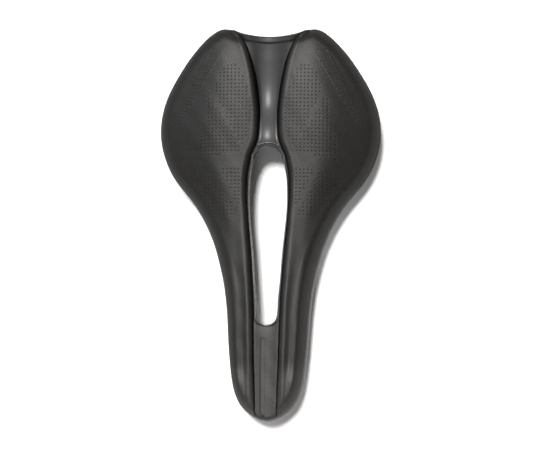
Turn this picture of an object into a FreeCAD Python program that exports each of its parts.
import FreeCAD, Part
import math
import os

# Short-nose road bicycle saddle: a moulded shell with a relief opening, a U-shaped foam pad
# under a thin cover, a one-piece bent rail, and the liners, caps, screws and threaded inserts
# that hold the rail's nose bend and its two tips to the shell.
#
# Millimetres. +Z up, nose towards -Y, tail towards +Y. The origin lies midway between the two
# rails, at the middle of their straight clamping length. The saddle is symmetric about x = 0;
# half outlines give the +X half, and the pieces named "right" lie at +X.

Vector = FreeCAD.Vector
UP = Vector(0, 0, 1)

# ---------------------------------------------------------------- dimensions
# Rail
RAIL_R = 7.0 / 2
RAIL_SPACING = 44.0                 # centre to centre in the clamping length
CLAMP_HALF = 38.5                   # half of the straight, parallel clamping length
CLAMP_BEND_R = 30.0                 # bends at both ends of the clamping length
NOSE_LEG_BEND_R = 22.0              # bend where each side meets the level nose leg
NOSE_BEND_R = 11.0                  # the U bend in the nose
NOSE_RAIL_Y = -121.0                # front of the U bend's centre line
NOSE_RAIL_Z = 23.5
NOSE_LEG_END_Y = -92.0
RAIL_TIP = Vector(33.0, 87.0, 28.5)  # centre of the rear tip at +X

# Shell
SHELL_T = 2.3
BAND_SINK = 0.7                     # bosses, ribs and flange start this far below the deck
RIB_INSET = 3.6                     # ribs and bosses stop this far inside the outline
RIB_DOWN = 5.6
RIB_W = 1.8
RIM_INSET = 6.0
RIM_W, RIM_UP, RIM_DOWN = 0.75, 0.55, 1.6    # raised bead round the opening
FLANGE_W, FLANGE_DOWN = 2.0, 5.0    # stiffening flange under the bead
BOSS_TOP = 70                       # above the deck; trimmed back to it

# Pad
COVER_T = 1.0
BOND_GAP = 0.12                     # between the cover's edge and the shell
GLUE = 0.25                         # bond line round the foam
FLOOR_T = (0.9, 2.6)                # thickness at its inner edge, and over the nose floor
MIN_FLOOR_T, MIN_FLOOR_EXTRA = 0.45, 0.3     # least floor; the extra is for the foam only
FLOOR_END = -89.2                   # where the nose floor stops at the opening
GAP_ARC_Y = -81.0                   # centre of the arc that closes the gap between the arms
GAP_SIDE_Y = -79                    # the gap's sides start behind this
GAP_OVERRUN = 14.0                  # the gap runs on past the tail
INNER_GAP_GROW = 0.35               # extra half width of the gap for the layers under the skin
HOLLOW_DEPTH = 3.0                  # the cover's hollow reaches this far below the deck

# Liners, sockets and caps
FIT = 0.05                          # clearance between neighbouring pieces
LINER_T = 1.55
LINER_IN_R, LINER_OUT_R = RAIL_R + FIT, RAIL_R + LINER_T
NOSE_LINER_BACK = 12.0              # length of the nose liner's straight legs
LINER_END = 0.35                    # the rear liner's closed end, past the rail's tip
SPLIT = 0.4                         # half of the pinch gap between a boss and its cap
SOCKET_FRONT, SOCKET_BACK = -15.0, 2.8       # rear socket, along the rail from its tip
SOCKET_HALF = 12.0
SOCKET_DEPTH = 8.0
SOCKET_CORNER_R = 2.6
REAR_CAP_LOW_R = 1.6
NOSE_CAP_LOW_R = 1.2
NOSE_CAP_FLOOR = 2.5                # cap thickness below the liner
NOSE_CAP_LOW = NOSE_RAIL_Z - LINER_OUT_R - FIT - NOSE_CAP_FLOOR
NOSE_BOSS_R, NOSE_BOSS_Y = 18.3, -116.5      # round front of the nose boss

# Screws (drive is the hexagon across its flats) and their inserts
M4 = dict(shank_r=2.0, head_r=3.6, head_h=2.3, drive=2.5, insert_r=2.9, insert_l=6.0)
M3 = dict(shank_r=1.5, head_r=2.8, head_h=1.8, drive=2.0, insert_r=2.25, insert_l=5.0)
NOSE_SCREWS_Y = (-131.0, -108.0)
REAR_SCREW_ALONG, REAR_SCREW_OUT = -6.4, 8.3  # along the rail, out from its centre line
HEAD_SINK = 0.5                     # the head lies this far inside the cap
HEAD_CLEARANCE = 0.3
INSERT_SINK = 0.2                   # from the boss's split face to the insert
INSERT_GROOVES = (0.36, 0.64)       # fractions of the insert's length
GROOVE_HALF_W, GROOVE_DEPTH = 0.35, 0.3

# Half outline of the shell in plan (x, y), from the nose tip to the middle of the rear edge.
OUTLINE = [
    (0.0, -148.4), (5.2, -147.4), (10.0, -145.0), (14.2, -141.8), (17.7, -137.9),
    (20.3, -133.4), (22.3, -128.0), (23.9, -120.5), (25.2, -110.0), (26.3, -97.6),
    (27.1, -84.4), (27.9, -74.0), (28.9, -65.5), (30.3, -57.0), (32.5, -47.3),
    (35.3, -37.0), (39.2, -26.3), (44.4, -15.8), (51.3, -5.2), (59.4, 4.8),
    (65.9, 14.6), (70.1, 25.0), (72.1, 34.0), (72.5, 41.5), (71.8, 49.5),
    (69.9, 57.5), (66.4, 66.3), (60.6, 76.6), (53.0, 87.8), (44.6, 97.5),
    (38.6, 103.0), (34.0, 106.0), (29.2, 107.2), (24.8, 106.3), (20.0, 104.8),
    (12.0, 103.1), (0.0, 102.1)]
FRONT_CORNER = (17.7, -137.9)       # where the plan grid's front line meets its side
REAR_CORNER = (38.6, 103.0)
TAIL_Y = OUTLINE[-1][1]

# Half outline of the relief opening (x, y), from its front end to its rear end.
OPENING = [
    (0.0, -87.4), (3.1, -86.7), (5.5, -84.3), (6.5, -80.5), (7.0, -71.2),
    (8.1, -58.0), (9.5, -38.2), (11.2, -21.7), (12.3, -7.2), (12.2, 6.0),
    (10.8, 17.0), (8.9, 23.5), (6.2, 28.0), (3.0, 29.7), (0.0, 30.1)]

# Plan lines (x, y) of the two curved ribs, and the straight ribs at +X.
CURVED_RIBS = [
    [(16.5, -99), (17.2, -70), (18.8, -40), (21.5, -5), (24.0, 25), (27.5, 55), (30.5, 74)],
    [(22.4, -26), (33.0, -4), (43.0, 18), (47.0, 40), (43.5, 62), (37.0, 76)]]
STRAIGHT_RIBS = [[(9.0, 48.0), (66.0, 48.0)], [(12.0, 12.0), (58.0, 12.0)]]
CENTRE_RIB = [(-20.0, 80.0), (20.0, 80.0)]

# Plan grid
OUTLINE_SAMPLES = 520
FRONT_PACK, REAR_PACK = 9.5, 8.0    # lengths over which rows are packed at the two ends
PACK_ANGLES = (0, 14, 28, 42, 56, 72, 90)
ROLL_ANGLES = (0, 16, 32, 47, 62, 76, 90)
WALL_STEPS = (0.0, 0.15, 0.31, 0.48, 0.66, 0.83, 1.0)
GROOVE_STEPS = 4                    # columns from the centre line to the groove's side


# ---------------------------------------------------------------- curve helpers
def cubic(xs, ys, slope0=None, slope1=None):
    """C2 cubic spline through the points; natural ends unless an end slope is given."""
    n = len(xs)
    h = [xs[i + 1] - xs[i] for i in range(n - 1)]
    lower, diag, upper, rhs = [0.0] * n, [1.0] * n, [0.0] * n, [0.0] * n
    for i in range(1, n - 1):
        lower[i], diag[i], upper[i] = h[i - 1], 2 * (h[i - 1] + h[i]), h[i]
        rhs[i] = 6 * ((ys[i + 1] - ys[i]) / h[i] - (ys[i] - ys[i - 1]) / h[i - 1])
    if slope0 is not None:
        diag[0], upper[0] = 2 * h[0], h[0]
        rhs[0] = 6 * ((ys[1] - ys[0]) / h[0] - slope0)
    if slope1 is not None:
        lower[-1], diag[-1] = h[-1], 2 * h[-1]
        rhs[-1] = 6 * (slope1 - (ys[-1] - ys[-2]) / h[-1])
    for i in range(1, n):
        w = lower[i] / diag[i - 1]
        diag[i] -= w * upper[i - 1]
        rhs[i] -= w * rhs[i - 1]
    second = [0.0] * n
    second[-1] = rhs[-1] / diag[-1]
    for i in range(n - 2, -1, -1):
        second[i] = (rhs[i] - upper[i] * second[i + 1]) / diag[i]

    def value(x):
        x = min(max(x, xs[0]), xs[-1])
        lo, hi = 0, n - 1
        while hi - lo > 1:
            k = (lo + hi) // 2
            if xs[k] <= x:
                lo = k
            else:
                hi = k
        to_hi, from_lo, step = xs[hi] - x, x - xs[lo], h[lo]
        return ((second[lo] * to_hi ** 3 + second[hi] * from_lo ** 3) / (6 * step)
                + (ys[lo] / step - second[lo] * step / 6) * to_hi
                + (ys[hi] / step - second[hi] * step / 6) * from_lo)
    return value


def table(rows):
    """Smooth function through (y, value) rows."""
    return cubic([r[0] for r in rows], [r[1] for r in rows])


def half_curve(points):
    """Chord-length cubic that crosses x = 0 squarely at both ends: position(s), length, knots."""
    s = [0.0]
    for p, q in zip(points, points[1:]):
        s.append(s[-1] + math.hypot(q[0] - p[0], q[1] - p[1]))
    x_at = cubic(s, [p[0] for p in points], 1, -1)
    y_at = cubic(s, [p[1] for p in points], 0, 0)
    return (lambda t: (x_at(t), y_at(t))), s[-1], s


def offset_curve(at, length, count, inset):
    """Points (x, y, s) of a half curve moved inwards by inset(s)."""
    points = []
    for i in range(count + 1):
        s = length * i / count
        a, b = at(max(s - 0.05, 0)), at(min(s + 0.05, length))
        tx, ty = b[0] - a[0], b[1] - a[1]
        norm = math.hypot(tx, ty)
        tx, ty = tx / norm, ty / norm
        if i == 0:
            tx, ty = 1.0, 0.0
        if i == count:
            tx, ty = -1.0, 0.0
        x, y = at(s)
        move = inset(s)
        points.append((max(x - ty * move, 0.0), y + tx * move, s))
    return points


def smooth(t):
    t = min(max(t, 0.0), 1.0)
    return t * t * (3 - 2 * t)


def ramp(y, start, end):
    """Smooth step from 0 at start to 1 at end."""
    return smooth((y - start) / (end - start))


def hermite(y, y0, y1, v0, v1, slope0, slope1):
    t = (y - y0) / (y1 - y0)
    h = y1 - y0
    return ((2 * t ** 3 - 3 * t * t + 1) * v0 + (t ** 3 - 2 * t * t + t) * h * slope0
            + (-2 * t ** 3 + 3 * t * t) * v1 + (t ** 3 - t * t) * h * slope1)


def graded(a, b, n, step0, step1):
    """The n - 1 points between a and b whose spacing runs smoothly from step0 to step1."""
    h = b - a
    m0, m1 = min(n * step0, 2.6 * h), min(n * step1, 2.6 * h)
    return [a + m0 * (t ** 3 - 2 * t * t + t) + h * (3 * t * t - 2 * t ** 3)
            + m1 * (t ** 3 - t * t)
            for t in (i / n for i in range(1, n))]


outline_at, outline_len, outline_s = half_curve(OUTLINE)
opening_at, opening_len, _ = half_curve(OPENING)
FRONT_CORNER_S = outline_s[OUTLINE.index(FRONT_CORNER)]
REAR_CORNER_S = outline_s[OUTLINE.index(REAR_CORNER)]


def opening_points(grow):
    """Half outline (x, y) of the opening, moved outwards by grow."""
    moved = offset_curve(opening_at, opening_len, 64, lambda s: -grow)
    points = [(x, y) for x, y, _ in moved]
    return [(0.0, points[0][1])] + points[1:-1] + [(0.0, points[-1][1])]


# ---------------------------------------------------------------- profiles: (y, value)
# Pad top on the centre line
crown_z = table([
    (-148.4, 36.6), (-140, 38.7), (-130, 40.2), (-115, 41.3), (-95, 41.9), (-70, 42.2),
    (-45, 42.4), (-20, 43.1), (0, 44.3), (20, 46.1), (40, 48.1), (60, 49.7), (80, 50.5),
    (95, 50.0), (107.5, 48.2)])
# Shell's outer edge
edge_z = table([
    (-148.4, 21.8), (-130, 19.8), (-100, 18.8), (-60, 18.9), (-30, 19.6), (0, 20.9),
    (20, 22.4), (41, 24.4), (60, 27.2), (80, 31.2), (95, 34.8), (107.5, 37.4)])
# Shell's top under the pad
deck_z = table([
    (-148.4, 31.0), (-130, 33.6), (-100, 34.9), (-60, 34.8), (-20, 35.0), (0, 35.7),
    (20, 37.2), (40, 39.0), (60, 40.4), (80, 41.2), (95, 41.0), (107.5, 40.0)])
# Shell's top on the centre line, between the pad's arms
bridge_z = table([
    (-148.4, 31.0), (-130, 33.6), (-100, 34.9), (-60, 34.8), (-20, 35.0), (0, 35.7),
    (20, 38.2), (30, 39.9), (36, 40.3), (44, 39.9), (54, 38.7), (66, 38.2),
    (80, 38.9), (92, 40.4), (97, 41.2), (102.1, 41.4), (107.5, 41.4)])
# Half width of the groove between the pad's arms
groove_half = table([
    (-148.4, 6.6), (-140, 6.8), (-130, 6.9), (-118, 7.3), (-106, 7.7), (-95, 7.9),
    (-84, 8.1), (-71, 8.4), (-58, 9.2), (-45, 10.1), (-31.6, 11.2), (-18, 12.3),
    (-5, 13.2), (5, 13.4), (13.5, 12.9), (20, 11.8), (25.5, 10.3), (31, 7.9),
    (36, 6.4), (44.6, 5.55), (53, 5.5), (63.6, 6.4), (75.6, 8.3), (86, 10.9),
    (93.5, 13.9), (99, 18.0), (102.1, 22.4), (105.0, 27.4)])
# Width of the pad's sloping inner wall
wall_width = table([
    (-148.4, 3.0), (-120, 3.2), (-90, 3.4), (-40, 4.0), (0, 4.6), (30, 5.2), (60, 6.0),
    (90, 5.0), (102.1, 4.0)])
# Where the pad's top starts to fall outwards, its slope beyond, and the blend's width
shoulder_x = table([
    (-148.4, 12.0), (-130, 16.5), (-100, 18.0), (-60, 19.0), (-30, 22.0), (0, 30.0),
    (20, 36.0), (50, 38.0), (80, 33.0), (107.5, 27.0)])
fall_slope = table([
    (-148.4, 0.22), (-100, 0.30), (-60, 0.34), (-30, 0.40), (0, 0.44), (40, 0.44),
    (80, 0.40), (107.5, 0.30)])
shoulder_blend = table([(-148.4, 4.0), (-60, 5.0), (0, 8.0), (50, 10.0), (107.5, 8.0)])
# Plan widths over which the pad and the shell roll down to their edges
pad_roll = table([
    (-148.4, 9.5), (-120, 9.5), (-60, 9.0), (-20, 8.0), (20, 7.5), (60, 7.5), (107.5, 8.5)])
shell_roll = table([
    (-148.4, 6.5), (-100, 7.0), (-60, 7.0), (-20, 6.5), (30, 6.0), (80, 5.5), (107.5, 5.0)])
# Quadratic fall of the deck outwards
deck_fall = table([
    (-148.4, 0.012), (-100, 0.011), (-60, 0.009), (-30, 0.007), (0, 0.0046), (40, 0.0033),
    (80, 0.0028), (107.5, 0.0028)])

GROOVE_SHIFT = 3.1                  # the shell's groove lags behind the pad's at the tail
DECK_FLAT_HALF = 10.0               # the deck starts to fall outside this x
TROUGH_CURVE = 0.016                # quadratic rise of the trough outwards
TROUGH_BLEND = 6.5
INNER_DIP = 0.35                    # lowering of the pad's top beside the groove
INNER_DIP_W = 7.0


# ---------------------------------------------------------------- heights
# "inside" is the plan distance inside the outline.
def rolled(inside, width):
    """Quarter-ellipse profile: 0 at the edge, 1 from width inwards."""
    if inside >= width:
        return 1.0
    k = 1.0 - max(inside, 0.0) / width
    return math.sqrt(max(0.0, 1.0 - k * k))


def deck_crown(x, y):
    """Shell top before its edge rolls down."""
    x = abs(x)
    groove = groove_half(y - GROOVE_SHIFT * ramp(y, 72, 102))
    under = deck_z(y) - deck_fall(y) * max(0.0, x - DECK_FLAT_HALF) ** 2
    trough = bridge_z(y) + TROUGH_CURVE * x * x
    return trough + (under - trough) * smooth((x - groove * 0.7) / (0.3 * groove + TROUGH_BLEND))


def deck(x, y, inside):
    """Shell top."""
    edge = edge_z(y)
    return edge + (deck_crown(x, y) - edge) * rolled(inside, shell_roll(y))


def pad_edge_inset(y):
    """How far the pad's edge stands inside the shell's."""
    return max(0.3, 0.9 + 0.5 * ramp(y, -138, -147) - 0.75 * ramp(y, 84, 100))


def floor_thickness(y):
    return FLOOR_T[0] + (FLOOR_T[1] - FLOOR_T[0]) * ramp(y, -74, -91)


def groove_and_wall(y, depth=0.0):
    """Groove half width and wall width for the pad layer at this depth under the skin."""
    y = min(y, TAIL_Y)
    return groove_half(y) + depth, wall_width(y)


def pad_crown(x, y):
    """Pad top before its inner wall and its outer roll."""
    x = abs(x)
    shoulder, blend, slope = shoulder_x(y), shoulder_blend(y), fall_slope(y)
    beyond = x - shoulder
    fall = (slope * (math.sqrt(beyond * beyond + blend * blend) + beyond) / 2
            - slope * (math.sqrt(shoulder * shoulder + blend * blend) - shoulder) / 2)
    groove, wall = groove_and_wall(y)
    dip = INNER_DIP * (1 - smooth((x - groove - wall * 0.6) / INNER_DIP_W))
    return crown_z(y) - fall - dip


def wall_rise(t):
    t = min(max(t, 0.0), 1.0)
    return 0.5 - 0.5 * math.cos(math.pi * t ** 0.85)


def pad_base(x, y, inside, depth):
    """Shell top under a point of the pad layer at this depth."""
    return deck(x, y, inside + pad_edge_inset(y) + depth)


def pad_top(x, y, inside, row_y, depth):
    """Top of the pad layer at this depth under the skin; row_y is its row's centre-line y."""
    x = abs(x)
    groove, wall = groove_and_wall(row_y, depth)
    least = MIN_FLOOR_T + (MIN_FLOOR_EXTRA if depth > COVER_T else 0.0)
    thin = max(floor_thickness(y) - depth, least)
    full = pad_crown(x, y) - depth - deck_crown(x, y) - thin
    rise = wall_rise((x - groove) / wall)
    return pad_base(x, y, inside, depth) + thin + full * rise * rolled(inside, pad_roll(y))


# ---------------------------------------------------------------- plan grid
def nearest_on(poly):
    """Function giving the distance to poly and its outward normal at the nearest point."""
    stride = 6

    def nearest(x, y):
        near = min(range(0, len(poly), stride),
                   key=lambda i: (poly[i][0] - x) ** 2 + (poly[i][1] - y) ** 2)
        best, found = 1e18, (0.0, 1.0, 0.0)
        for i in range(max(near - 2 * stride, 0), min(near + 2 * stride, len(poly) - 1)):
            x0, y0 = poly[i][0], poly[i][1]
            dx, dy = poly[i + 1][0] - x0, poly[i + 1][1] - y0
            t = ((x - x0) * dx + (y - y0) * dy) / max(dx * dx + dy * dy, 1e-12)
            t = min(max(t, 0.0), 1.0)
            square = (x0 + t * dx - x) ** 2 + (y0 + t * dy - y) ** 2
            if square < best:
                best = square
                length = math.hypot(dx, dy)
                found = (math.sqrt(square), dy / length, -dx / length)
        return found
    return nearest


def stations(front_y, rear_y):
    """Centre-line y of every row, packed towards both ends."""
    front = [front_y + FRONT_PACK * (1 - math.cos(math.radians(a))) for a in PACK_ANGLES]
    rear = [rear_y - REAR_PACK * (1 - math.cos(math.radians(a))) for a in reversed(PACK_ANGLES)]
    middle = graded(front[-1], rear[0], 46, 0.3 * FRONT_PACK, 0.3 * REAR_PACK)
    return front + middle + rear


def side_x(poly, s0, s1, y):
    """x where poly, between arc lengths s0 and s1, first crosses y."""
    for (xa, ya, sa), (xb, yb, sb) in zip(poly, poly[1:]):
        if sa < s0 - 1e-9 or sb > s1 + 1e-9:
            continue
        if (ya - y) * (yb - y) <= 0 and yb != ya:
            return xa + (xb - xa) * ((y - ya) / (yb - ya))


def end_y(poly, s0, s1, x):
    """y where poly, between arc lengths s0 and s1, first passes x."""
    for (xa, ya, sa), (xb, yb, sb) in zip(poly, poly[1:]):
        if sb < s0 - 1e-9 or sa > s1 + 1e-9:
            continue
        lo, hi = min(xa, xb), max(xa, xb)
        if lo - 1e-9 <= x <= hi + 1e-9 and hi > lo:
            return ya + (yb - ya) * ((x - xa) / (xb - xa))


def patch(inset, columns, depth=0.0):
    """Plan grid for the outline moved in by inset(s).

    Rows run from -X to +X and hold (x, y, inside, row_y, outward normal x, y).
    columns(groove, wall, outer_x, roll) gives the x of a row's columns from the centre out.
    """
    poly = offset_curve(outline_at, outline_len, OUTLINE_SAMPLES, inset)
    corner_f = min(poly, key=lambda p: abs(p[2] - FRONT_CORNER_S))
    corner_r = min(poly, key=lambda p: abs(p[2] - REAR_CORNER_S))
    nearest = nearest_on(poly)
    front_y, rear_y = poly[0][1], poly[-1][1]
    rows = []
    for row_y in stations(front_y, rear_y):
        on_front, on_rear = row_y <= front_y + 1e-6, row_y >= rear_y - 1e-6
        if on_front:
            outer_x, outer_y = corner_f[:2]
        elif on_rear:
            outer_x, outer_y = corner_r[:2]
        else:
            outer_y = row_y
            if row_y < -116:
                outer_y = hermite(row_y, front_y, -116, corner_f[1], -116, 0.50, 1.0)
            elif row_y > 74:
                outer_y = hermite(row_y, 74, rear_y, 74, corner_r[1], 1.0, 0.9)
            outer_x = side_x(poly, corner_f[2], corner_r[2], outer_y)
        # Rows near an end take up the shape of that end's line.
        ends = [(1 - ramp(row_y, front_y, -112), corner_f, front_y, 0, corner_f[2]),
                (ramp(row_y, 72, rear_y), corner_r, rear_y, corner_r[2], outline_len)]
        groove, wall = groove_and_wall(row_y, depth)
        xs = columns(groove, wall, outer_x, pad_roll(row_y))
        last = len(xs) - 1
        row = []
        for k, x in enumerate(xs):
            f = x / outer_x
            y = row_y + (outer_y - row_y) * f * f
            for weight, corner, middle_y, s0, s1 in ends:
                if weight > 0:
                    if k == 0:
                        line_y = middle_y
                    elif k == last:
                        line_y = corner[1]
                    else:
                        line_y = end_y(poly, s0, s1, f * corner[0])
                    y += weight * (line_y - (middle_y + (corner[1] - middle_y) * f * f))
            inside, nx, ny = nearest(x, y)
            if k == last or on_front or on_rear:
                inside = 0.0
            row.append((x, y, inside, row_y, nx, ny))
        left = [(-x, y, inside, gy, -nx, ny) for x, y, inside, gy, nx, ny in reversed(row[1:])]
        rows.append(left + row)
    return rows


def roll_columns(outer_x, width):
    return [outer_x - width * (1 - math.sin(math.radians(a))) for a in ROLL_ANGLES]


def pad_columns(groove, wall, outer_x, roll):
    wall_end = groove + wall
    roll_w = min(roll, 0.62 * (outer_x - wall_end))
    xs = [0.0] + graded(0.0, groove, GROOVE_STEPS, 0.3 * groove, 0.15 * wall)
    xs += [groove + wall * q for q in WALL_STEPS]
    xs += graded(wall_end, outer_x - roll_w, 9, 0.17 * wall, roll_w * 0.27)
    return xs + roll_columns(outer_x, roll_w)


def deck_columns(groove, wall, outer_x, roll):
    roll_w = min(roll * 0.75, 0.6 * (outer_x - groove))
    xs = [0.0, 0.25 * groove, 0.5 * groove, 0.75 * groove, groove]
    xs += graded(groove, outer_x - roll_w, 14, 0.17 * groove, roll_w * 0.27)
    return xs + roll_columns(outer_x, roll_w)


def grid_of(rows, height):
    """Point grid over a patch; height(x, y, inside, row_y) gives z."""
    return [[Vector(p[0], p[1], height(*p[:4])) for p in row] for row in rows]


def offset_deck(rows, grid, thickness):
    """Deck grid moved down its normals; the outer border moves level, straight inwards."""
    h = 0.05
    out = []
    for row, points in zip(rows, grid):
        new = []
        for (x, y, inside, _, nx, ny), p in zip(row, points):
            if inside <= 1e-6:
                n = Vector(nx, ny, 0)
            else:
                hd = min(0.02, 0.2 * inside)
                zd = (deck(x, y, inside + hd) - deck(x, y, inside - hd)) / (2 * hd)
                zx = (deck(x + h, y, inside) - deck(x - h, y, inside)) / (2 * h)
                zy = (deck(x, y + h, inside) - deck(x, y - h, inside)) / (2 * h)
                n = Vector(-(zx - zd * nx), -(zy - zd * ny), 1.0)
            if abs(x) < 1e-9:
                n.x = 0.0
            n.normalize()
            new.append(p - n * thickness)
        out.append(new)
    return out


# ---------------------------------------------------------------- solids from grids
def spline_basis(n):
    """Knots, and the banded matrix of cubic B-spline values at 0, 1, ... n - 1."""
    knots = [0.0] * 4 + [float(j) for j in range(2, n - 2)] + [float(n - 1)] * 4
    rows = []
    for i in range(n - 1):
        t = float(i)
        span = 3
        while span < n - 1 and knots[span + 1] <= t:
            span += 1
        values = [1.0, 0.0, 0.0, 0.0]
        left, right = [0.0] * 4, [0.0] * 4
        for j in range(1, 4):
            left[j], right[j] = t - knots[span + 1 - j], knots[span + j] - t
            saved = 0.0
            for r in range(j):
                q = values[r] / (right[r + 1] + left[j - r])
                values[r] = saved + right[r + 1] * q
                saved = left[j - r] * q
            values[j] = saved
        rows.append({span - 3 + j: values[j] for j in range(4)})
    rows.append({n - 1: 1.0})
    return knots, rows


def solve(rows, rhs):
    """Gauss elimination on sparse banded rows; rhs is a list of lists."""
    n = len(rows)
    matrix = [dict(r) for r in rows]
    b = [list(r) for r in rhs]
    for i in range(n):
        pivot = matrix[i].get(i, 0.0)
        for k in range(i + 1, min(i + 4, n)):
            f = matrix[k].get(i, 0.0)
            if f:
                f /= pivot
                for j, v in matrix[i].items():
                    if j >= i:
                        matrix[k][j] = matrix[k].get(j, 0.0) - f * v
                b[k] = [x - f * y for x, y in zip(b[k], b[i])]
    out = [None] * n
    for i in range(n - 1, -1, -1):
        acc = list(b[i])
        for j, v in matrix[i].items():
            if j > i and v:
                acc = [x - v * y for x, y in zip(acc, out[j])]
        out[i] = [x / matrix[i][i] for x in acc]
    return out


def even_surface(grid):
    """Cubic surface through a point grid, evenly spaced in both of its parameters."""
    nu, nv = len(grid), len(grid[0])
    knots_u, basis_u = spline_basis(nu)
    knots_v, basis_v = spline_basis(nv)
    flat = solve(basis_u, [[c for p in row for c in (p.x, p.y, p.z)] for row in grid])
    cols = [[c for i in range(nu) for c in flat[i][3 * k:3 * k + 3]] for k in range(nv)]
    cols = solve(basis_v, cols)
    poles = [[Vector(*cols[k][3 * i:3 * i + 3]) for k in range(nv)] for i in range(nu)]
    s = Part.BSplineSurface()
    s.buildFromPolesMultsKnots(poles, [4] + [1] * (nu - 4) + [4], [4] + [1] * (nv - 4) + [4],
                               sorted(set(knots_u)), sorted(set(knots_v)), False, False, 3, 3)
    return s.toShape()


def chord_surface(grid):
    """Cubic surface through a point grid, its parameters spaced by the points' distances."""
    s = Part.BSplineSurface()
    s.interpolate(grid)
    return s.toShape()


def edge_between(face, a, b):
    """The face's edge whose ends are nearest points a and b."""
    def miss(edge):
        p, q = edge.Vertexes[0].Point, edge.Vertexes[-1].Point
        return min((p - a).Length + (q - b).Length, (p - b).Length + (q - a).Length)
    return min(face.Edges, key=miss)


def slab(top, bottom, make=even_surface):
    """Closed solid between two point grids of the same size."""
    top_face, bottom_face = make(top), make(bottom)
    faces = [top_face, bottom_face]
    corners = [(0, 0), (0, -1), (-1, -1), (-1, 0)]
    for (i, j), (k, l) in zip(corners, corners[1:] + corners[:1]):
        faces.append(Part.makeRuledSurface(
            edge_between(top_face, top[i][j], top[k][l]),
            edge_between(bottom_face, bottom[i][j], bottom[k][l])))
    sewn = Part.makeCompound(faces)
    sewn.sewShape(1e-4)
    solid = Part.makeSolid(sewn.Shells[0])
    if solid.Volume < 0:
        solid.reverse()
    return solid


# ---------------------------------------------------------------- shape helpers
def spline_edge(points):
    curve = Part.BSplineCurve()
    curve.interpolate(points)
    return curve.toShape()


def spline_prism(half, z0, z1):
    """Upright prism on a smooth half outline that starts on x = 0, and its mirror image.

    A straight edge closes the outline where the half doesn't end on x = 0.
    """
    edges = [spline_edge([Vector(x, y, z0) for x, y in half])]
    end_x, end_at_y = half[-1]
    if end_x > 0:
        edges.append(Part.LineSegment(Vector(end_x, end_at_y, z0),
                                      Vector(-end_x, end_at_y, z0)).toShape())
    edges.append(spline_edge([Vector(-x, y, z0) for x, y in reversed(half)]))
    return Part.Face(Part.Wire(edges)).extrude(UP * (z1 - z0))


def polygon_face(points):
    return Part.Face(Part.makePolygon(points + points[:1]))


def polygon_prism(points, z0, z1):
    return polygon_face([Vector(x, y, z0) for x, y in points]).extrude(UP * (z1 - z0))


def one_solid(shape):
    """The largest solid of a shape."""
    return max(shape.Solids, key=lambda s: s.Volume)


def mirrored(shape):
    return shape.mirror(Vector(0, 0, 0), Vector(1, 0, 0))


def cylinder(radius, start, end):
    return Part.makeCylinder(radius, (end - start).Length, start, end - start)


def disc(radius, centre, normal):
    return Part.Face(Part.Wire(Part.makeCircle(radius, centre, normal)))


def unit(v):
    w = Vector(v)
    w.normalize()
    return w


# ---------------------------------------------------------------- rail
nose_leg_end = Vector(NOSE_BEND_R, NOSE_LEG_END_Y, NOSE_RAIL_Z)
nose_turn = Vector(NOSE_BEND_R, NOSE_RAIL_Y + NOSE_BEND_R, NOSE_RAIL_Z)


def bend_length(d0, d1, radius):
    """From the corner of a bend to the end of its arc."""
    return radius * math.tan(d0.getAngle(d1) / 2)


def clamp_corners():
    """Corners of the bends behind and in front of the clamping length, found by iteration."""
    x, along = RAIL_SPACING / 2, Vector(0, 1, 0)
    rear_y, front_y = 47.0, -45.0
    for _ in range(30):
        to_tip = unit(RAIL_TIP - Vector(x, rear_y, 0))
        rear_y = CLAMP_HALF + bend_length(along, to_tip, CLAMP_BEND_R)
        from_nose = unit(Vector(x, front_y, 0) - nose_leg_end)
        front_y = -CLAMP_HALF - bend_length(from_nose, along, CLAMP_BEND_R)
    return Vector(x, rear_y, 0), Vector(x, front_y, 0)


rear_corner, front_corner = clamp_corners()

# Frame at the rail's tip: along the rail to its tip, outboard, and square to both and upwards.
TIP_ALONG = unit(RAIL_TIP - rear_corner)
TIP_OUT = unit(TIP_ALONG.cross(UP))
TIP_UP = TIP_OUT.cross(TIP_ALONG)


def at_tip(along, out, up):
    return RAIL_TIP + TIP_ALONG * along + TIP_OUT * out + TIP_UP * up


def tip_block(a0, a1, b0, b1, c0, c1):
    """Block in the tip frame, from (a0, b0, c0) to (a1, b1, c1)."""
    base = [at_tip(a0, b0, c0), at_tip(a1, b0, c0), at_tip(a1, b1, c0), at_tip(a0, b1, c0)]
    return polygon_face(base).extrude(TIP_UP * (c1 - c0))


def bent_rod(points, bend_radii, radius):
    """Pieces of a round rod through the points, with a bend radius at each inner point."""
    pieces = []
    start = points[0]
    for before, corner, after, bend_r in zip(points, points[1:], points[2:], bend_radii):
        d0, d1 = unit(corner - before), unit(after - corner)
        length = bend_length(d0, d1, bend_r)
        a = corner - d0 * length
        pieces.append(cylinder(radius, start, a))
        axis = unit(d0.cross(d1))
        centre = a + unit(axis.cross(d0)) * bend_r
        angle = math.degrees(d0.getAngle(d1))
        pieces.append(disc(radius, a, d0).revolve(centre, axis, angle))
        start = corner + d1 * length
    pieces.append(cylinder(radius, start, points[-1]))
    return pieces


def nose_bend(radius):
    section = disc(radius, nose_turn, Vector(0, -1, 0))
    return section.revolve(Vector(0, nose_turn.y, nose_turn.z), Vector(0, 0, -1), 180)


def nose_rod(radius, back):
    """Round rod round the U bend, with straight legs reaching back by back."""
    leg = cylinder(radius, nose_turn, nose_turn + Vector(0, back, 0))
    return leg.fuse([nose_bend(radius), mirrored(leg)])


def build_rail():
    side = bent_rod([RAIL_TIP, rear_corner, front_corner, nose_leg_end, nose_turn],
                    [CLAMP_BEND_R, CLAMP_BEND_R, NOSE_LEG_BEND_R], RAIL_R)
    return one_solid(side[0].fuse(side[1:] + [nose_bend(RAIL_R)] + [mirrored(p) for p in side]))


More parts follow.
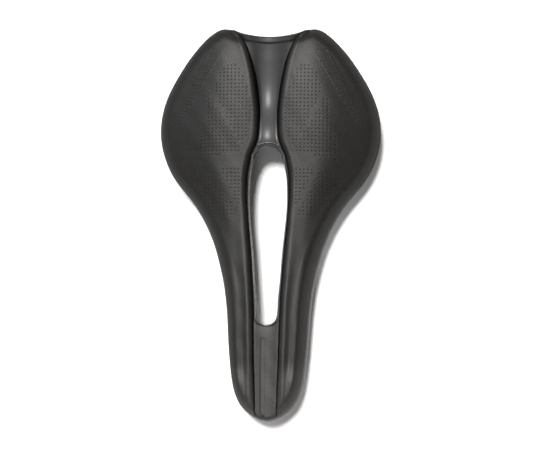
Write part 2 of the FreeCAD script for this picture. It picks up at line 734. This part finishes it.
# ---------------------------------------------------------------- liners and their beds
def build_nose_liner():
    bore = nose_rod(LINER_IN_R, NOSE_LINER_BACK + 1)
    return one_solid(nose_rod(LINER_OUT_R, NOSE_LINER_BACK).cut(bore))


def tip_cylinder(radius, start, end):
    """Cylinder on the rail's centre line, between two distances from its tip."""
    return cylinder(radius, at_tip(start, 0, 0), at_tip(end, 0, 0))


def build_rear_liner():
    body = tip_cylinder(LINER_OUT_R, SOCKET_FRONT - 1.2, LINER_END)
    return one_solid(body.cut(tip_cylinder(LINER_IN_R, SOCKET_FRONT - 3, FIT)))


nose_bed = nose_rod(LINER_OUT_R + FIT, 40.0)
rear_bed = tip_cylinder(LINER_OUT_R + FIT, SOCKET_FRONT - 20, LINER_END + FIT)

# Places of the screws, each the seat of its head and the start of its insert
nose_places = [(Vector(0, y, NOSE_CAP_LOW + M4["head_h"] + HEAD_SINK),
                Vector(0, y, NOSE_RAIL_Z + SPLIT + INSERT_SINK)) for y in NOSE_SCREWS_Y]
rear_places = [(at_tip(REAR_SCREW_ALONG, out, -SOCKET_DEPTH + M3["head_h"] + HEAD_SINK),
                at_tip(REAR_SCREW_ALONG, out, SPLIT + INSERT_SINK))
               for out in (-REAR_SCREW_OUT, REAR_SCREW_OUT)]


# ---------------------------------------------------------------- shell
def deck_band(inset, up, down=None):
    """Solid from the deck raised by up to the deck lowered by down, or to z = 0."""
    rows = patch(lambda s: inset, deck_columns)
    top = grid_of(rows, lambda x, y, inside, _: deck(x, y, inside + inset) + up)
    if down is None:
        low = grid_of(rows, lambda x, y, inside, _: 0.0)
    else:
        low = grid_of(rows, lambda x, y, inside, _: deck(x, y, inside + inset) - down)
    return slab(top, low)


def nose_outline():
    """D-shaped outline of the nose boss and its cap, round at the front."""
    half = [(NOSE_BOSS_R * math.sin(math.radians(a)),
             NOSE_BOSS_Y - NOSE_BOSS_R * math.cos(math.radians(a))) for a in range(0, 91, 9)]
    half += [(NOSE_BOSS_R, -111.0), (NOSE_BOSS_R, -104.0),
             (NOSE_BOSS_R - 0.4, -98.5), (NOSE_BOSS_R - 1.6, -95.0)]
    return [(-x, y) for x, y in reversed(half[1:])] + half


def build_rear_boss(under):
    """Upright block over the rail's tip, ending on the split plane of its cap."""
    ahead = unit(Vector(TIP_ALONG.x, TIP_ALONG.y, 0))
    out = Vector(ahead.y, -ahead.x, 0)
    plan_scale = math.hypot(TIP_ALONG.x, TIP_ALONG.y)
    front, back = SOCKET_FRONT * plan_scale, SOCKET_BACK * plan_scale
    corners = []
    for a, b in ((front, -SOCKET_HALF), (back, -SOCKET_HALF),
                 (back, SOCKET_HALF), (front, SOCKET_HALF)):
        p = RAIL_TIP + ahead * a + out * b
        corners.append((p.x, p.y))
    boss = polygon_prism(corners, 0, BOSS_TOP)
    upright = [e for e in boss.Edges
               if abs(e.Vertexes[0].Point.z - e.Vertexes[-1].Point.z) > 10]
    boss = boss.makeFillet(SOCKET_CORNER_R, upright).common(under)
    return boss.cut(tip_block(-80, 80, -60, 60, -80, SPLIT))


def rib(points, band):
    """Upright plate along a plan polyline, within a band under the deck."""
    left, right = [], []
    for i, (x, y) in enumerate(points):
        x0, y0 = points[max(i - 1, 0)]
        x1, y1 = points[min(i + 1, len(points) - 1)]
        length = math.hypot(x1 - x0, y1 - y0)
        nx, ny = -(y1 - y0) / length, (x1 - x0) / length
        left.append((x + nx * RIB_W / 2, y + ny * RIB_W / 2))
        right.append((x - nx * RIB_W / 2, y - ny * RIB_W / 2))
    return polygon_prism(left + right[::-1], 0, BOSS_TOP).common(band)


def smooth_line(points, n=22):
    """Plan points (x, y) on a smooth curve, evenly spaced in y."""
    x_at = cubic([p[1] for p in points], [p[0] for p in points])
    y0, y1 = points[0][1], points[-1][1]
    ys = [y0 + (y1 - y0) * i / n for i in range(n + 1)]
    return [(x_at(y), y) for y in ys]


def insert_pocket(size, start, axis, spare):
    """Hole for an insert, from the rail's centre plane to spare beyond the insert."""
    return cylinder(size["insert_r"] + FIT, start - axis * (SPLIT + INSERT_SINK),
                    start + axis * (size["insert_l"] + spare))


def build_shell():
    rows = patch(lambda s: 0.0, deck_columns)
    top = grid_of(rows, lambda x, y, inside, _: deck(x, y, inside))
    shell = slab(top, offset_deck(rows, top, SHELL_T))

    under = deck_band(RIB_INSET, -BAND_SINK)
    rib_band = deck_band(RIB_INSET, -BAND_SINK, down=RIB_DOWN)
    rim_band = deck_band(RIM_INSET, RIM_UP, down=RIM_DOWN)
    flange_band = deck_band(RIM_INSET, -BAND_SINK, down=FLANGE_DOWN)

    hole = spline_prism(opening_points(0.0), -20, 80)
    rim = spline_prism(opening_points(RIM_W), -15, 75).common(rim_band)
    flange = spline_prism(opening_points(FLANGE_W), -15, 75).common(flange_band)
    nose_boss = polygon_prism(nose_outline(), NOSE_RAIL_Z + SPLIT, BOSS_TOP).common(under)
    rear_boss = build_rear_boss(under)
    extras = [rim, flange, nose_boss, rear_boss, mirrored(rear_boss)]
    for line in [smooth_line(points) for points in CURVED_RIBS] + STRAIGHT_RIBS:
        plate = rib(line, rib_band)
        extras += [plate, mirrored(plate)]
    extras.append(rib(CENTRE_RIB, rib_band))

    shell = shell.fuse(extras).cut(hole)
    shell = shell.cut([nose_bed, rear_bed, mirrored(rear_bed)])
    for _, start in nose_places:
        shell = shell.cut(insert_pocket(M4, start, UP, 0.6))
    for _, start in rear_places:
        pocket = insert_pocket(M3, start, TIP_UP, 0.5)
        shell = shell.cut([pocket, mirrored(pocket)])
    return one_solid(shell)


# ---------------------------------------------------------------- screws and inserts
def build_insert(size, start, axis):
    """Threaded insert with two grooves round it, running from start along axis."""
    radius, length = size["insert_r"], size["insert_l"]
    past_end = start + axis * (length + 1)
    body = cylinder(radius, start, start + axis * length)
    body = body.cut(cylinder(size["shank_r"] + FIT, start - axis, past_end))
    for k in INSERT_GROOVES:
        groove = cylinder(radius + 1, start + axis * (length * k - GROOVE_HALF_W),
                          start + axis * (length * k + GROOVE_HALF_W))
        groove = groove.cut(cylinder(radius - GROOVE_DEPTH, start - axis, past_end))
        body = body.cut(groove)
    return one_solid(body)


def circle_edges(shape):
    return [e for e in shape.Edges if e.Curve.TypeId == "Part::GeomCircle"]


def build_screw(size, seat, axis, length):
    """Socket-head screw whose head bears on seat; the shank runs along axis."""
    head_h = size["head_h"]
    head = cylinder(size["head_r"], seat - axis * head_h, seat)
    outer = [e for e in circle_edges(head) if (e.Curve.Center - seat).Length > 0.5]
    head = head.makeFillet(0.35, outer)

    top = seat - axis * (head_h + 0.01)
    turn = FreeCAD.Rotation(axis, 60)
    spoke = unit(axis.cross(Vector(1, 0.3, 0.2))) * (size["drive"] / 2
                                                     / math.cos(math.radians(30)))
    hexagon = []
    for _ in range(6):
        hexagon.append(top + spoke)
        spoke = turn.multVec(spoke)
    socket = polygon_face(hexagon).extrude(axis * (head_h * 0.62))

    end = seat + axis * length
    shank = cylinder(size["shank_r"], seat - axis * 0.1, end)
    end_edges = [e for e in circle_edges(shank) if (e.Curve.Center - end).Length < 0.1]
    shank = shank.makeChamfer(0.4, end_edges)
    return one_solid(head.cut(socket).fuse(shank))


def build_screws(size, places, axis):
    """Compound of screws, each reaching to the far end of its insert."""
    return Part.makeCompound([
        build_screw(size, seat, axis, (start - seat).Length + size["insert_l"])
        for seat, start in places])


def build_inserts(size, places, axis):
    return Part.makeCompound([build_insert(size, start, axis) for _, start in places])


# ---------------------------------------------------------------- caps
def fillet_low(cap, radius, edges):
    # Guards the fillet: a cap whose lower edges can't be rounded keeps them sharp.
    try:
        return cap.makeFillet(radius, edges)
    except Exception:
        return cap


def cut_screw_holes(cap, size, places, axis, clearance):
    """Counterbore and shank hole for each screw."""
    for seat, _ in places:
        below = seat - axis * (size["head_h"] + HEAD_SINK + 1)
        cap = cap.cut([cylinder(size["head_r"] + HEAD_CLEARANCE, below, seat),
                       cylinder(size["shank_r"] + clearance, seat, seat + axis * 12)])
    return cap


def build_nose_cap():
    cap = polygon_prism(nose_outline(), NOSE_CAP_LOW, NOSE_RAIL_Z - SPLIT)
    low = [e for e in cap.Edges if max(v.Point.z for v in e.Vertexes) < NOSE_CAP_LOW + 1e-3]
    cap = fillet_low(cap, NOSE_CAP_LOW_R, low).cut(nose_bed)
    return one_solid(cut_screw_holes(cap, M4, nose_places, UP, 0.25))


def build_rear_cap():
    cap = tip_block(SOCKET_FRONT, SOCKET_BACK, -SOCKET_HALF, SOCKET_HALF, -SOCKET_DEPTH, -SPLIT)
    upright = [e for e in cap.Edges
               if abs(unit(e.Vertexes[0].Point - e.Vertexes[-1].Point).dot(TIP_UP)) > 0.9]
    cap = cap.makeFillet(SOCKET_CORNER_R, upright)
    low = [e for e in cap.Edges
           if max((v.Point - RAIL_TIP).dot(TIP_UP) for v in e.Vertexes) < -SOCKET_DEPTH + 1e-3]
    cap = fillet_low(cap, REAR_CAP_LOW_R, low).cut(rear_bed)
    return one_solid(cut_screw_holes(cap, M3, rear_places, TIP_UP, 0.2))


# ---------------------------------------------------------------- pad: foam under a cover
def gap_prism(rows, grow):
    """Space between the pad's arms, from the arc at the opening's front to past the tail."""
    column = len(rows[0]) // 2 + GROOVE_STEPS
    side = [(row[column][0] + grow, row[column][1]) for row in rows
            if row[column][1] > GAP_SIDE_Y]
    half = []
    for i in range(8):
        a = math.radians(90.0 * i / 8)
        half.append((side[0][0] * math.sin(a),
                     GAP_ARC_Y + (FLOOR_END - GAP_ARC_Y - grow) * math.cos(a)))
    half += side
    (xa, ya), (xb, yb) = side[-2:]
    k = GAP_OVERRUN / math.hypot(xb - xa, yb - ya)
    half.append((xb + (xb - xa) * k, yb + (yb - ya) * k))
    return spline_prism(half, -20, 90)


def pad_layer(depth, lift, gap_grow, make=even_surface):
    """The pad's body at this depth under the skin, its underside raised by lift off the deck."""
    rows = patch(lambda s: pad_edge_inset(outline_at(s)[1]) + depth, pad_columns, depth)
    top = grid_of(rows, lambda x, y, inside, row_y: pad_top(x, y, inside, row_y, depth))
    bottom = grid_of(rows, lambda x, y, inside, _: pad_base(x, y, inside, depth) + lift)
    return slab(top, bottom, make).cut(gap_prism(rows, gap_grow))


def build_cover():
    hollow = pad_layer(COVER_T, -HOLLOW_DEPTH, INNER_GAP_GROW)
    return one_solid(pad_layer(0.0, BOND_GAP, 0.0).cut(hollow))


def build_foam():
    return one_solid(pad_layer(COVER_T + GLUE, BOND_GAP + GLUE, INNER_GAP_GROW, chord_surface))


# ---------------------------------------------------------------- output
nodes = {
    "shell": build_shell(),
    "foam_pad": build_foam(),
    "cover": build_cover(),
    "rail": build_rail(),
    "nose_liner": build_nose_liner(),
    "nose_cap": build_nose_cap(),
    "nose_cap_screws": build_screws(M4, nose_places, UP),
    "nose_inserts": build_inserts(M4, nose_places, UP),
}
rear_nodes = {
    "rear_liner": build_rear_liner(),
    "rear_cap": build_rear_cap(),
    "rear_cap_screws": build_screws(M3, rear_places, TIP_UP),
    "rear_inserts": build_inserts(M3, rear_places, TIP_UP),
}
for name, right in rear_nodes.items():
    nodes[name + "_right"] = right
    if len(right.Solids) > 1:
        nodes[name + "_left"] = Part.makeCompound([mirrored(s) for s in right.Solids])
    else:
        nodes[name + "_left"] = one_solid(mirrored(right))

os.makedirs("parts", exist_ok=True)
for name, shape in nodes.items():
    shape.exportStep("parts/%s.step" % name)
